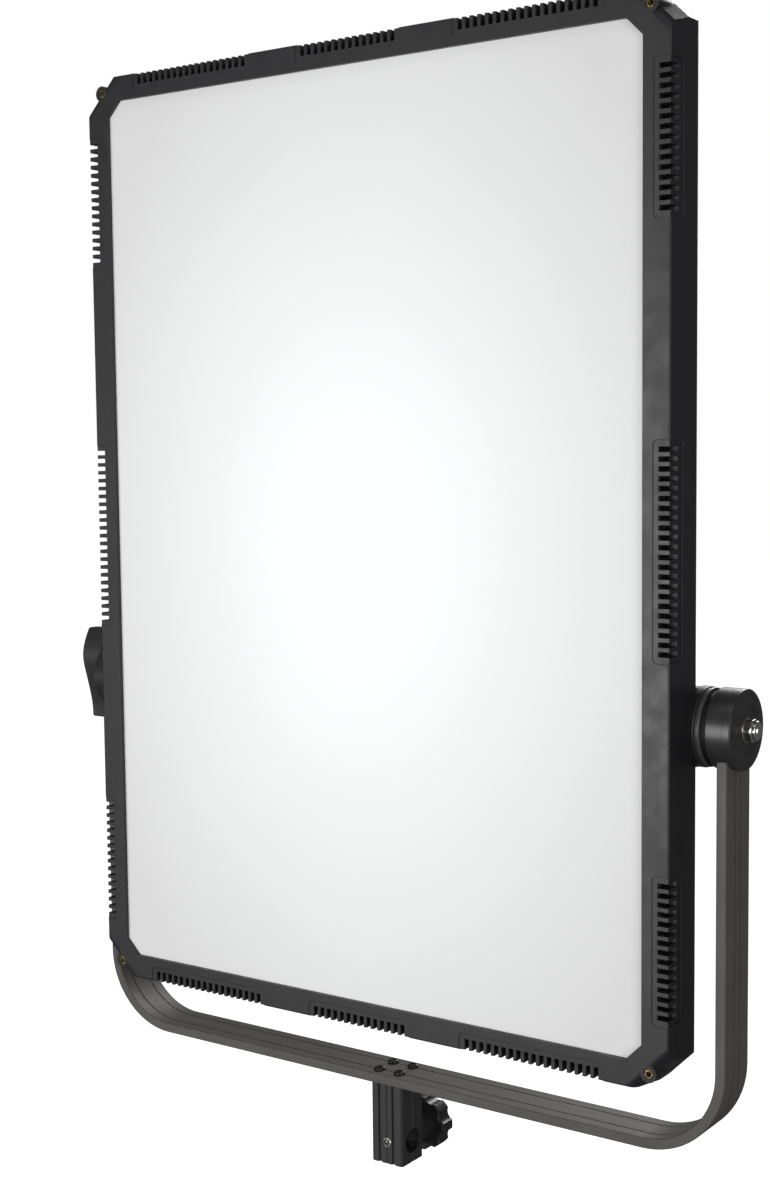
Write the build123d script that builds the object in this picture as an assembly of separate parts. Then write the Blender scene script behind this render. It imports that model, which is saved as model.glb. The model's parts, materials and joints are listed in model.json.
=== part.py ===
from build123d import *
import os
from math import cos, radians, sin, sqrt, tan

# An LED panel light on a U-shaped yoke. Millimetres, +Z up, the light faces -Y.
# The origin is the centre of the mouth of the stand socket, under the middle of the yoke.

# Panel
panel_width = 444.0
panel_height = 630.0
corner_leg = 16.0
rim_side = 17.5
rim_end = 16.5
window_leg = 10.6
bezel_depth = 33.0
front_wall = 3.0
side_wall = 2.5
edge_round = 1.2

# Corner bosses, threaded for accessories
boss_inset_x = 13.0
boss_inset_z = 10.4
boss_radius = 5.2
insert_radius = 3.0
insert_length = 9.0
insert_thread_radius = 1.65
scoop_start = 15.6
scoop_depth = 22.0
scoop_round = 6.0
corner_thickening = 6.0

# Cooling slots in the edge of the bezel
slot_width = 3.0
slot_pitch_side = 5.55
slot_pitch_end = 5.35
slot_reach_in = 7.5
slot_reach_back = 10.5
comb_reach_in = 6.9
comb_reach_back = 11.5
recess_reach_in = 10.9
recess_reach_back = 16.2
recess_sink = 0.5
recess_round = 3.0
recess_margin = 4.0
side_row_inset = 84.0
side_outer_slots = 15
side_middle_slots = 22
end_row_inset = 93.0
end_outer_slots = 18
end_middle_slots = 14

# Rear shell
shell_depth = 25.0
shell_rim = 2.0
shell_taper = 35.0
shell_wall = 2.5
shell_round = 5.0
rear_slot_length = 60.0
rear_slot_width = 3.5
rear_slot_pitch = 9.0
rear_slot_count = 12
rear_slot_x = 110.0
rear_slot_z = 175.0
cover_head_radius = 2.9
cover_head_height = 1.6
cover_screw_radius = 1.55
cover_screw_length = 13.0
cover_screw_bite = 12.0
cover_screw_inset = 14.0
post_radius = 4.5
cable_way_width = 120.0
cable_way_height = 60.0

# Light engine, from the front to the back
diffuser_thick = 2.5
diffuser_margin = 4.0
box_wall = 3.0
box_depth = 17.0
spreader_thick = 2.0
strip_thick = 1.6
strip_height = 12.0
strip_count = 10
lens_count = 7
lens_radius = 5.0
lens_height = 3.0
standoff_radius = 3.5
standoff_inset_x = 72.0
standoff_inset_z = 65.0

# Electronics inside the rear shell
supply_size = (170.0, 20.0, 92.0)
supply_z = 120.0
driver_size = (180.0, 1.6, 90.0)
driver_z = -10.0
driver_part_height = 12.0
driver_foot = 6.0

# Control housing on the back
housing_width = 230.0
housing_height = 180.0
housing_depth = 26.0
housing_drop = 150.0
housing_wall = 2.5
housing_taper = 14.0
housing_round = 4.0
housing_screw_inset = 16.0
board_thick = 1.6
board_gap = 9.0
board_height = 76.0
board_rise = 20.0

# Controls
display_width = 62.0
display_height = 34.0
display_rise = 42.0
display_thick = 1.5
knob_radius = 11.0
knob_height = 13.0
knob_flutes = 18
knob_x = 66.0
shaft_radius = 3.0
shaft_fit = 0.05
shaft_out = 10.0
encoder_side = 12.0
switch_rise = 3.0
button_width = 14.0
button_height = 8.0
button_pitch = 22.0
button_drop = -8.0
button_rise = 2.0
button_travel = 1.2
panel_fit = 0.3
switch_width = 13.0
switch_height = 20.0
switch_x = 84.0
switch_wall = 1.4
rocker_pin_radius = 1.2
rocker_pin_reach = 1.0
rocker_sink = 2.0
port_z = -52.0
inlet_width = 28.0
inlet_height = 21.0
inlet_cavity_width = 24.0
inlet_cavity_height = 16.4
inlet_cavity_depth = 13.0
inlet_x = 46.0
data_radius = 11.0
data_bore = 7.7
data_in_x = -22.0
data_out_x = -56.0
data_depth = 14.0
pin_radius = 1.0
port_flange = 1.6

# Yoke
yoke_depth = 43.5
pivot_drop = 104.5
bar_thick = 6.5
bar_width = 33.0
bend_outer = 54.0
under_gap = 40.5
arm_over_pivot = 12.0
bar_corner = 0.8
inner_groove_y = 7.5
outer_groove_y = 3.7
groove_width = 1.0
groove_depth = 0.6

# Pivots
pivot_radius = 24.0
flange_thick = 5.2
ring_thick = 3.2
washer_radius = 21.5
washer_thick = 3.8
hub_floor = 4.3
bracket_radius = 23.4
bracket_length = 50.0
foot_length = 30.0
foot_thick = 6.0
foot_screw_z = 13.0
foot_screw_radius = 2.0
foot_screw_head = 3.75
foot_screw_rise = 2.2
foot_corner = 4.0
bracket_floor = 8.0
bracket_clear = 1.0
cap_thick = 5.2
dish_radius = 17.0
dish_depth = 1.4
stud_radius = 4.0
thrust_gap = 0.1
running_fit = 0.05
screw_gap = 0.2
pivot_washer_radius = 7.4
pivot_washer_thick = 1.6
nut_flats = 13.0
nut_thick = 4.6
nut_collar_radius = 5.7
nut_collar = 2.4
stud_end = 0.8

# Tilt lock paddle
paddle_reach = 33.5
paddle_length = 19.0
paddle_boss_radius = 11.5
paddle_boss = 2.4
paddle_washer_radius = 9.5
paddle_round = 1.5
paddle_dish_radius = 24.0
paddle_dish = 2.0
paddle_bore = 12.0
lock_travel = 2.5

# Stand receiver
block_side = 25.0
block_height = 55.5
block_corner = 2.2
socket_radius = 8.1
socket_depth = 40.0
screw_rise = 14.5
face_groove_x = 5.4
face_groove_width = 2.4
face_groove_depth = 1.2
side_groove = 0.8
top_screw_pitch = 16.0
top_screw_head = 3.75
top_screw_rise = 2.0
top_screw_shank = 2.0
star_radius = 18.5
star_lobes = 8
star_thick = 13.0
star_neck_radius = 10.0
star_neck = 12.0
star_gap = 3.2
front_insert_radius = 3.5
front_insert_length = 3.6

# Places worked out from the sizes above
bar_top = block_height + bar_thick
panel_z = bar_top + under_gap + panel_height / 2
pivot_z = panel_z - pivot_drop
front_y = -yoke_depth
half_width = panel_width / 2
half_height = panel_height / 2
shell_back = bezel_depth + shell_depth
flange_x = half_width + flange_thick
ring_x = flange_x + ring_thick
hub_x = ring_x + washer_thick
arm_inner_x = hub_x + hub_floor
cap_x = arm_inner_x + bar_thick
cap_out = cap_x + cap_thick
housing_z = panel_z - housing_drop
housing_back = shell_back + housing_depth
box_front = front_wall + diffuser_thick
spreader_front = box_front + box_depth
bracket_front = front_y + bezel_depth + shell_rim + bracket_clear
window_width = panel_width - 2 * rim_side
window_height = panel_height - 2 * rim_end


def block(x0, x1, y0, y1, z0, z1):
    centre = Pos((x0 + x1) / 2, (y0 + y1) / 2, (z0 + z1) / 2)
    return centre * Box(x1 - x0, y1 - y0, z1 - z0)


def rod_x(radius, x0, x1, y=0.0, z=pivot_z):
    return Pos((x0 + x1) / 2, y, z) * Rot(0, 90, 0) * Cylinder(radius, abs(x1 - x0))


def rod_y(radius, y0, y1, x, z):
    return Pos(x, (y0 + y1) / 2, z) * Rot(90, 0, 0) * Cylinder(radius, abs(y1 - y0))


def rod_z(radius, z0, z1, x=0.0, y=0.0):
    return Pos(x, y, (z0 + z1) / 2) * Cylinder(radius, abs(z1 - z0))


def facing_back(depth, x=0.0, z=panel_z):
    return Plane(origin=(x, front_y + depth, z), x_dir=(-1, 0, 0), z_dir=(0, 1, 0))


def plate(outline, depth, thickness, x=0.0, z=panel_z, taper=0.0):
    return extrude(facing_back(depth, x, z) * outline, thickness, taper=taper)


def cut_corner_sheet(width, height, leg):
    sheet = Rectangle(width, height)
    return chamfer(sheet.vertices(), leg)


def mirrored_x(shape):
    return mirror(shape, Plane.YZ)


def both_sides(shape):
    return [shape, mirrored_x(shape)]


def write(name, *solids):
    found = []
    for item in solids:
        found += list(item.solids())
    shape = found[0] if len(found) == 1 else Compound(children=found)
    shape.label = name
    export_step(shape, "parts/" + name + ".step")


# ---- bezel ------------------------------------------------------------------------------

def corner_places():
    x = half_width - boss_inset_x
    z = half_height - boss_inset_z
    return [(sx * x, panel_z + sz * z) for sx in (-1, 1) for sz in (-1, 1)]


def row_span(pitch, count):
    return (count - 1) * pitch + slot_width


def side_box(sign, centre, length, reach_in, reach_back, over=1.0):
    x0, x1 = sorted((sign * (half_width - reach_in), sign * (half_width + over)))
    z = panel_z + centre
    return block(x0, x1, front_y - over, front_y + reach_back, z - length / 2, z + length / 2)


def end_box(sign, centre, length, reach_in, reach_back, over=1.0):
    z0, z1 = sorted((sign * (half_height - reach_in), sign * (half_height + over)))
    x0 = centre - length / 2
    return block(x0, x0 + length, front_y - over, front_y + reach_back, panel_z + z0, panel_z + z1)


def three_rows(outer, outer_count, middle_count):
    return [(-outer, outer_count), (0.0, middle_count), (outer, outer_count)]


def for_each_row(make):
    side_rows = three_rows(half_height - side_row_inset, side_outer_slots, side_middle_slots)
    end_rows = three_rows(half_width - end_row_inset, end_outer_slots, end_middle_slots)
    shapes = []
    for sign in (-1, 1):
        for centre, count in side_rows:
            shapes += make(side_box, sign, centre, count, slot_pitch_side)
        for centre, count in end_rows:
            shapes += make(end_box, sign, centre, count, slot_pitch_end)
    return shapes


def row_slots(box, sign, centre, count, pitch):
    first = centre - (count - 1) * pitch / 2
    places = [first + n * pitch for n in range(count)]
    return [box(sign, place, slot_width, slot_reach_in, slot_reach_back) for place in places]


def row_comb(box, sign, centre, count, pitch):
    length = row_span(pitch, count) + recess_margin
    return [box(sign, centre, length, comb_reach_in, comb_reach_back, 0.0)]


def row_recess(box, sign, centre, count, pitch):
    length = row_span(pitch, count) + 2 * recess_margin
    whole = box(sign, centre, length, recess_reach_in, recess_reach_back)
    whole = fillet(whole.edges().filter_by(Axis.Y), recess_round)
    kept = box(sign, centre, length + 2, recess_reach_in + 2, recess_reach_back + 2, -recess_sink)
    front = block(-panel_width, panel_width, front_y + recess_sink, front_y + shell_back,
                  panel_z - panel_height, panel_z + panel_height)
    return [whole - (kept & front)]


def corner_scoop(x, z):
    """The corner falls away outside the boss in a rounded slope, down to the corner's flat."""
    sx = 1 if x > 0 else -1
    sz = 1 if z > panel_z else -1
    foot = corner_leg / sqrt(2)
    slope = FilletPolyline((2 * scoop_start, 0), (scoop_start, 0), (foot, scoop_depth),
                           radius=scoop_round)
    rest = Polyline((foot, scoop_depth), (-foot, scoop_depth), (-foot, -1),
                    (2 * scoop_start, -1), (2 * scoop_start, 0))
    corner = (sx * half_width, front_y, panel_z + sz * half_height)
    section = Plane(origin=corner, x_dir=(-sx, 0, -sz), z_dir=(sz, 0, -sx))
    return extrude(section * make_face(slope + rest), 2 * corner_leg, both=True)


def make_bezel():
    body = plate(cut_corner_sheet(panel_width, panel_height, corner_leg), 0, bezel_depth)
    body = fillet(body.faces().sort_by(Axis.Y)[0].edges(), edge_round)
    wide = panel_width - 2 * side_wall
    high = panel_height - 2 * side_wall
    cavity = plate(cut_corner_sheet(wide, high, corner_leg + corner_thickening), front_wall,
                   bezel_depth)
    posts = [rod_y(boss_radius, front_y, front_y + scoop_depth, x, z) for x, z in corner_places()]
    solid = body - cavity.cut(*for_each_row(row_comb))
    window = plate(cut_corner_sheet(window_width, window_height, window_leg), -1, front_wall + 2)
    solid = solid - window
    solid = solid.cut(*for_each_row(row_recess))
    solid = solid.cut(*for_each_row(row_slots))
    solid = solid.cut(*[corner_scoop(x, z) for x, z in corner_places()])
    for post in posts:
        solid = solid + post
    holes = [rod_y(insert_radius, front_y - 1, front_y + insert_length, x, z)
             for x, z in corner_places()]
    return solid.cut(*holes)


def make_corner_inserts():
    inserts = []
    for x, z in corner_places():
        barrel = rod_y(insert_radius - running_fit, front_y + 0.4, front_y + insert_length, x, z)
        barrel = chamfer(barrel.edges().filter_by(GeomType.CIRCLE), 0.3)
        inserts.append(barrel - rod_y(insert_thread_radius, front_y, front_y + scoop_depth, x, z))
    return inserts


# ---- rear shell -------------------------------------------------------------------------

def shell_form(inset, back_inset):
    wide = panel_width - 2 * inset
    high = panel_height - 2 * inset
    sheet = cut_corner_sheet(wide, high, corner_leg)
    rim = plate(sheet, bezel_depth, shell_rim)
    cone = plate(sheet, bezel_depth + shell_rim, shell_depth - shell_rim - back_inset,
                 taper=shell_taper)
    return rim + cone


def shell_outside():
    form = shell_form(0.0, 0.0)
    back = form.faces().sort_by(Axis.Y)[-1].edges()
    form = fillet(back, shell_round)
    bend = [e for e in form.edges()
            if abs(e.center().Y - (front_y + bezel_depth + shell_rim)) < 0.01]
    return fillet(bend, shell_round)


def shell_screw_places():
    flat_inset = shell_depth * tan(radians(shell_taper)) + cover_screw_inset
    x = half_width - flat_inset
    z = half_height - flat_inset
    places = [(sx * x, panel_z + sz * z) for sx in (-1, 1) for sz in (-1, 1)]
    places += [(0.0, panel_z + z), (0.0, panel_z - z)]
    return places


def standoff_places():
    x = half_width - standoff_inset_x
    z = half_height - standoff_inset_z
    return [(sx * x, panel_z + sz * z) for sx in (-1, 1) for sz in (-1, 0, 1)]


def rear_slots():
    slots = []
    for side in (-1, 1):
        for n in range(rear_slot_count):
            z = panel_z + rear_slot_z + (n - (rear_slot_count - 1) / 2) * rear_slot_pitch
            sheet = SlotOverall(rear_slot_length, rear_slot_width)
            slots.append(plate(sheet, shell_back - 8, 16, x=side * rear_slot_x, z=z))
    return slots


def make_rear_shell():
    shell = shell_outside() - shell_form(shell_wall, shell_wall)
    shell = shell.cut(*rear_slots())
    back_y = front_y + shell_back
    screw_holes = [rod_y(cover_screw_radius + screw_gap, back_y - 4, back_y + 1, x, z)
                   for x, z in shell_screw_places()]
    cable_way = plate(RectangleRounded(cable_way_width, cable_way_height, 6), shell_back - 8, 16,
                      z=housing_z)
    bracket_holes = [rod_y(foot_screw_radius + running_fit, back_y - 4, back_y + 1, x, z)
                     for x, z in foot_screw_places()]
    windows = both_sides(bracket_window())
    return shell.cut(*screw_holes, cable_way, *bracket_holes, *windows)


def screw_post(x, z, start, end):
    """A round post that takes one cover screw."""
    y0 = front_y + start
    y1 = front_y + end
    hole = rod_y(cover_screw_radius + running_fit, y1 - cover_screw_bite, y1 + 1, x, z)
    return rod_y(post_radius, y0, y1, x, z) - hole


def make_cover_posts():
    """Posts inside the rear shell, and posts on it that carry the control housing."""
    inner_start = spreader_front + spreader_thick
    inner_end = shell_back - shell_wall
    posts = [screw_post(x, z, inner_start, inner_end) for x, z in shell_screw_places()]
    outer_end = housing_back - housing_wall
    return posts + [screw_post(x, z, shell_back, outer_end) for x, z in housing_screw_places()]


def make_cover_screws():
    """One kind of screw holds the rear shell and the control housing."""
    seats = [(x, z, shell_back) for x, z in shell_screw_places()]
    seats += [(x, z, housing_back) for x, z in housing_screw_places()]
    return [button_screw(x, z, front_y + seat, cover_head_radius, cover_head_height,
                         cover_screw_radius, cover_screw_length) for x, z, seat in seats]


def button_screw(x, z, y_seat, head_radius, head_height, shank, length):
    """A button-head screw, its head towards +Y, with a hexagon socket."""
    head = rod_y(head_radius, y_seat, y_seat + head_height, x, z)
    head = fillet(head.faces().sort_by(Axis.Y)[-1].edges(), head_height * 0.6)
    stem = rod_y(shank, y_seat - length, y_seat, x, z)
    socket = plate(RegularPolygon(head_radius * 0.42, 6), y_seat - front_y + head_height * 0.4,
                   head_height, x=x, z=z)
    return head + stem - socket


# ---- light engine -----------------------------------------------------------------------

def make_diffuser():
    wide = window_width + 2 * diffuser_margin
    high = window_height + 2 * diffuser_margin
    return plate(cut_corner_sheet(wide, high, window_leg), front_wall, diffuser_thick)


def make_light_box():
    wide = window_width + 2 * box_wall
    high = window_height + 2 * box_wall
    outer = plate(cut_corner_sheet(wide, high, window_leg), box_front, box_depth)
    inner = plate(cut_corner_sheet(window_width, window_height, window_leg), box_front, box_depth)
    return outer - inner


def make_heat_spreader():
    wide = window_width + 2 * diffuser_margin
    high = window_height + 2 * diffuser_margin
    return plate(cut_corner_sheet(wide, high, window_leg), spreader_front, spreader_thick)


def strip_places():
    pitch = window_height / strip_count
    return [panel_z + (n - (strip_count - 1) / 2) * pitch for n in range(strip_count)]


def make_led_strips():
    sheet = Rectangle(window_width - 16, strip_height)
    return [plate(sheet, spreader_front - strip_thick, strip_thick, z=z) for z in strip_places()]


def make_led_lenses():
    lenses = []
    pitch = (window_width - 16) / lens_count
    y1 = front_y + spreader_front - strip_thick
    for z in strip_places():
        for n in range(lens_count):
            x = (n - (lens_count - 1) / 2) * pitch
            dome = rod_y(lens_radius, y1 - lens_height, y1, x, z)
            front = dome.faces().sort_by(Axis.Y)[0].edges()
            lenses.append(fillet(front, lens_height * 0.8))
    return lenses


def make_standoffs():
    y0 = front_y + spreader_front + spreader_thick
    y1 = front_y + shell_back - shell_wall
    return [rod_y(standoff_radius, y0, y1, x, z) for x, z in standoff_places()]


def make_power_supply():
    wide, deep, high = supply_size
    back = shell_back - shell_wall
    case = plate(RectangleRounded(wide, high, 2), back - deep, deep, z=panel_z + supply_z)
    return fillet(case.faces().sort_by(Axis.Y)[0].edges(), 1.0)


def make_driver_board():
    wide, thick, high = driver_size
    back = shell_back - shell_wall - driver_foot
    z = panel_z + driver_z
    return plate(Rectangle(wide, high), back - thick, thick, z=z)


def make_driver_parts():
    """The coils and capacitors that stand on the driver board."""
    wide, thick, high = driver_size
    y1 = front_y + shell_back - shell_wall - driver_foot - thick
    z = panel_z + driver_z
    parts = []
    for n in range(4):
        x = (n - 1.5) * wide / 5
        parts.append(block(x - 9, x + 9, y1 - driver_part_height, y1, z + 2, z + 26))
        parts.append(rod_y(6.0, y1 - driver_part_height, y1, x, z - 20))
    return parts


def make_driver_feet():
    wide, thick, high = driver_size
    y1 = front_y + shell_back - shell_wall
    z = panel_z + driver_z
    return [rod_y(3.0, y1 - driver_foot, y1, sx * (wide / 2 - 6), z + sz * (high / 2 - 6))
            for sx in (-1, 1) for sz in (-1, 1)]


# ---- control housing --------------------------------------------------------------------

def housing_form(inset, depth):
    sheet = RectangleRounded(housing_width - 2 * inset, housing_height - 2 * inset, 8)
    return plate(sheet, shell_back, depth, z=housing_z, taper=housing_taper)


def button_places():
    return [(n * button_pitch, housing_z + button_drop) for n in (1, 0, -1)]


def back_cut(sheet, x, z, depth=8.0):
    return plate(sheet, housing_back - depth, 2 * depth, x=x, z=z)


def make_control_housing():
    form = housing_form(0.0, housing_depth)
    form = fillet(form.faces().sort_by(Axis.Y)[-1].edges(), housing_round)
    shell = form - housing_form(housing_wall, housing_depth - housing_wall)
    display_z = housing_z + display_rise
    shell -= back_cut(Rectangle(display_width, display_height), 0, display_z)
    for x, z in button_places():
        opening = Rectangle(button_width + 2 * panel_fit, button_height + 2 * panel_fit)
        shell -= back_cut(opening, x, z)
    for x in (-knob_x, knob_x):
        shell -= back_cut(Circle(shaft_radius + 1.2), x, display_z)
    shell -= back_cut(Rectangle(switch_width + 3, switch_height + 3), switch_x,
                      housing_z + port_z)
    shell -= back_cut(Rectangle(inlet_width, inlet_height), inlet_x, housing_z + port_z)
    for x in (data_in_x, data_out_x):
        shell -= back_cut(Circle(data_radius), x, housing_z + port_z)
    for x, z in housing_screw_places():
        y1 = front_y + housing_back
        shell -= rod_y(cover_screw_radius + screw_gap, y1 - housing_wall - 1, y1 + 1, x, z)
    return shell


def housing_screw_places():
    x = housing_width / 2 - housing_screw_inset
    z = housing_height / 2 - housing_screw_inset
    return [(sx * x, housing_z + sz * z) for sx in (-1, 1) for sz in (-1, 1)]


def board_back():
    return housing_back - housing_wall - board_gap


def make_control_board():
    """The board behind the controls."""
    board = Rectangle(housing_width - 40, board_height)
    return plate(board, board_back() - board_thick, board_thick, z=housing_z + board_rise)


def make_board_posts():
    """Four posts that hold the control board off the back of the rear shell."""
    x = (housing_width - 40) / 2 - 6
    z = board_height / 2 - 6
    y0 = front_y + shell_back
    y1 = front_y + board_back() - board_thick
    centre = housing_z + board_rise
    return [rod_y(3.0, y0, y1, sx * x, centre + sz * z) for sx in (-1, 1) for sz in (-1, 1)]


def make_encoder(x):
    """The square body of a rotary encoder, bored for its shaft."""
    z = housing_z + display_rise
    body = plate(Rectangle(encoder_side, encoder_side), board_back(), board_gap - 1.5, x=x, z=z)
    y0 = front_y + board_back()
    return body - rod_y(shaft_radius + shaft_fit, y0 + 1.5, y0 + board_gap, x, z)


def make_shaft(x):
    y0 = front_y + board_back() + 1.6
    return rod_y(shaft_radius, y0, front_y + housing_back + shaft_out, x, housing_z + display_rise)


def make_display_module():
    thick = board_gap + housing_wall - display_thick + 0.3
    sheet = Rectangle(display_width - 0.2, display_height - 0.2)
    return plate(sheet, board_back(), thick, z=housing_z + display_rise)


def make_button_switches():
    sheet = Rectangle(6, 6)
    return [plate(sheet, board_back(), switch_rise, x=x, z=z) for x, z in button_places()]


def make_display_window():
    sheet = Rectangle(display_width - 0.2, display_height - 0.2)
    return plate(sheet, housing_back - display_thick + 0.3, display_thick,
                 z=housing_z + display_rise)


def make_rotary_knob(x):
    """A fluted knob that turns on its encoder shaft."""
    z = housing_z + display_rise
    y0 = front_y + housing_back + panel_fit
    y1 = y0 + knob_height
    body = rod_y(knob_radius, y0, y1, x, z)
    body = fillet(body.faces().sort_by(Axis.Y)[-1].edges(), 1.2)
    for n in range(knob_flutes):
        turn = 360.0 * n / knob_flutes
        fx = x + (knob_radius + 0.5) * cos(radians(turn))
        fz = z + (knob_radius + 0.5) * sin(radians(turn))
        body -= rod_y(1.1, y0 + 2, y1 + 1, fx, fz)
    mark = block(x - 0.6, x + 0.6, y1 - 0.5, y1 + 1, z + 3, z + knob_radius)
    bore = rod_y(shaft_radius, y0 - 1, front_y + housing_back + shaft_out, x, z)
    return body - mark - bore


def make_button(x, z):
    y0 = front_y + board_back() + switch_rise + button_travel + 0.2
    y1 = front_y + housing_back + button_rise
    cap = block(x - button_width / 2, x + button_width / 2, y0, y1,
                z - button_height / 2, z + button_height / 2)
    return fillet(cap.faces().sort_by(Axis.Y)[-1].edges(), 0.8)


def make_switch_frame():
    x = switch_x
    z = housing_z + port_z
    flange = plate(RectangleRounded(switch_width + 7, switch_height + 7, 1.5), housing_back,
                   port_flange, x=x, z=z)
    body = plate(Rectangle(switch_width + 2 * switch_wall, switch_height + 2 * switch_wall),
                 housing_back - 18, 18, x=x, z=z)
    well = plate(Rectangle(switch_width + 2 * panel_fit, switch_height + 2 * panel_fit),
                 housing_back - 9, 12, x=x, z=z)
    return flange + body - well - rocker_pin(running_fit)


def rocker_pin(gap):
    """The short pins that the rocker turns on, in holes in the frame's side walls."""
    half = switch_width / 2 + rocker_pin_reach + gap
    return rod_x(rocker_pin_radius + gap, switch_x - half, switch_x + half,
                 front_y + housing_back - rocker_sink, housing_z + port_z)


def make_power_rocker():
    """A rocker on a pivot across its well; its two faces meet at a shallow angle."""
    z = housing_z + port_z
    y = front_y + housing_back - rocker_sink
    side = switch_height / 2
    outline = Polyline((-side + 1.0, -4.0), (side - 1.0, -4.0), (side - 0.6, 2.6), (0.0, 3.4),
                       (-side + 1.2, 5.4), close=True)
    face = Plane(origin=(switch_x, y, z), x_dir=(0, 0, 1), z_dir=(-1, 0, 0)) * make_face(outline)
    body = extrude(face, switch_width / 2, both=True)
    return fillet(body.edges().filter_by(Axis.X), 0.4) + rocker_pin(0.0)


def make_power_inlet():
    z = housing_z + port_z
    flange = plate(RectangleRounded(inlet_width + 10, inlet_height + 6, 3), housing_back,
                   port_flange, x=inlet_x, z=z)
    body = plate(Rectangle(inlet_width - 0.2, inlet_height - 0.2), housing_back - 16, 16,
                 x=inlet_x, z=z)
    cavity = Rectangle(inlet_cavity_width, inlet_cavity_height)
    top = cavity.vertices().sort_by(Axis.Y)[-2:]
    cavity = plate(chamfer(top, 4), housing_back - inlet_cavity_depth + port_flange,
                   inlet_cavity_depth + 1, x=inlet_x, z=z)
    return flange + body - cavity


def make_inlet_pins():
    z = housing_z + port_z
    y0 = front_y + housing_back - inlet_cavity_depth + port_flange
    pins = []
    for x, rise in ((-7.0, -2.2), (0.0, 2.2), (7.0, -2.2)):
        pin = block(inlet_x + x - 1, inlet_x + x + 1, y0, y0 + 9, z + rise - 2.2, z + rise + 2.2)
        pins.append(fillet(pin.edges().filter_by(Axis.Y), 0.5))
    return pins


def data_pin_places(x):
    z = housing_z + port_z
    angles = [30 + 60 * n for n in range(5)]
    return [(x + 4.6 * cos(radians(a)), z + 4.6 * sin(radians(a))) for a in angles]


def data_flange(x):
    z = housing_z + port_z
    return plate(RectangleRounded(26, 31, 2.5), housing_back, port_flange, x=x, z=z)


def make_data_in():
    z = housing_z + port_z
    y1 = front_y + housing_back
    barrel = rod_y(data_radius - 0.1, y1 - 16, y1 + port_flange, data_in_x, z)
    bore = rod_y(data_bore, y1 + port_flange - data_depth, y1 + 5, data_in_x, z)
    return data_flange(data_in_x) + barrel - bore


def make_data_pins():
    y0 = front_y + housing_back + port_flange - data_depth
    return [rod_y(pin_radius, y0, y0 + 9, x, z) for x, z in data_pin_places(data_in_x)]


def make_data_out():
    z = housing_z + port_z
    y1 = front_y + housing_back
    barrel = rod_y(data_radius - 0.1, y1 - 16, y1 + port_flange, data_out_x, z)
    socket = data_flange(data_out_x) + barrel
    groove = rod_y(data_bore, y1 - 1, y1 + 5, data_out_x, z)
    groove -= rod_y(data_bore - 0.9, y1 - 2, y1 + 6, data_out_x, z)
    for x, z in data_pin_places(data_out_x):
        socket -= rod_y(pin_radius + 0.15, y1 - 7, y1 + 5, x, z)
    return socket - groove


# ---- pivots -----------------------------------------------------------------------------

def foot_screw_places():
    x = half_width - bracket_length - foot_length / 2
    return [(sx * x, pivot_z + sz * foot_screw_z) for sx in (-1, 1) for sz in (-1, 1)]


def bracket_form(radius, inner_x, outer_x, front):
    """A bar along X, round at the back and cut flat at the front."""
    ahead = block(inner_x - 1, outer_x + 1, -2 * radius, front,
                  pivot_z - 2 * radius, pivot_z + 2 * radius)
    saddle = block(inner_x, outer_x, front, 0, pivot_z - radius, pivot_z + radius)
    return rod_x(radius, inner_x, outer_x) + saddle - ahead


def bracket_window():
    """The opening in the side of the shell that the bracket fills."""
    gap = running_fit
    return bracket_form(bracket_radius + gap, half_width - bracket_length - gap,
                        half_width + 1, bracket_front - gap)


def make_pivot_bracket():
    """The cast block let into the shell that holds one pivot, its foot screwed to the back."""
    x0 = half_width - bracket_length
    body = bracket_form(bracket_radius, x0, half_width, bracket_front)
    back_y = front_y + shell_back
    foot = block(x0 - foot_length, x0 + 1, back_y, back_y + foot_thick,
                 pivot_z - bracket_radius, pivot_z + bracket_radius)
    foot = fillet(foot.edges().filter_by(Axis.Y).group_by(Axis.X)[0], foot_corner)
    body = body + foot
    body = body - rod_x(stud_radius + running_fit, x0 + bracket_floor, half_width + 1)
    holes = [rod_y(foot_screw_radius + running_fit, back_y - 1, back_y + foot_thick + 1, x, z)
             for x, z in foot_screw_places() if x > 0]
    return body.cut(*holes)


def make_flange():
    disc = rod_x(pivot_radius, half_width, flange_x)
    disc = fillet(disc.edges().filter_by(GeomType.CIRCLE).sort_by(Axis.X)[-1], 0.8)
    return disc - rod_x(stud_radius + running_fit, half_width - 1, flange_x + 1)


def make_ring():
    ring = rod_x(pivot_radius - 0.6, flange_x, ring_x)
    ring = fillet(ring.edges().filter_by(GeomType.CIRCLE), 0.8)
    return ring - rod_x(stud_radius + running_fit, flange_x - 1, ring_x + 1)


def make_friction_washer():
    disc = rod_x(washer_radius, ring_x + thrust_gap, hub_x)
    return disc - rod_x(stud_radius + running_fit, ring_x - 1, hub_x + 1)


def make_hub():
    """The round housing that takes the end of one arm in a pocket, open downwards."""
    hub = rod_x(pivot_radius, hub_x, cap_x)
    hub = fillet(hub.edges().filter_by(GeomType.CIRCLE).sort_by(Axis.X)[0], 0.8)
    half = bar_width / 2 + running_fit
    pocket = block(arm_inner_x - running_fit, cap_x + 1, -half, half,
                   pivot_z - 2 * pivot_radius, pivot_z + arm_over_pivot + running_fit)
    return hub - pocket - rod_x(stud_radius + running_fit, hub_x - 1, cap_x + 1)


def make_cap():
    cap = rod_x(pivot_radius, cap_x, cap_out)
    cap = fillet(cap.edges().filter_by(GeomType.CIRCLE).sort_by(Axis.X)[-1], 1.0)
    dish = Pos(cap_out, 0, pivot_z) * Rot(0, 90, 0) * Cone(
        dish_radius - 2 * dish_depth, dish_radius + 2 * dish_depth, 2 * dish_depth)
    return cap - dish - rod_x(stud_radius + running_fit, cap_x - 1, cap_out + 1)


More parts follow.
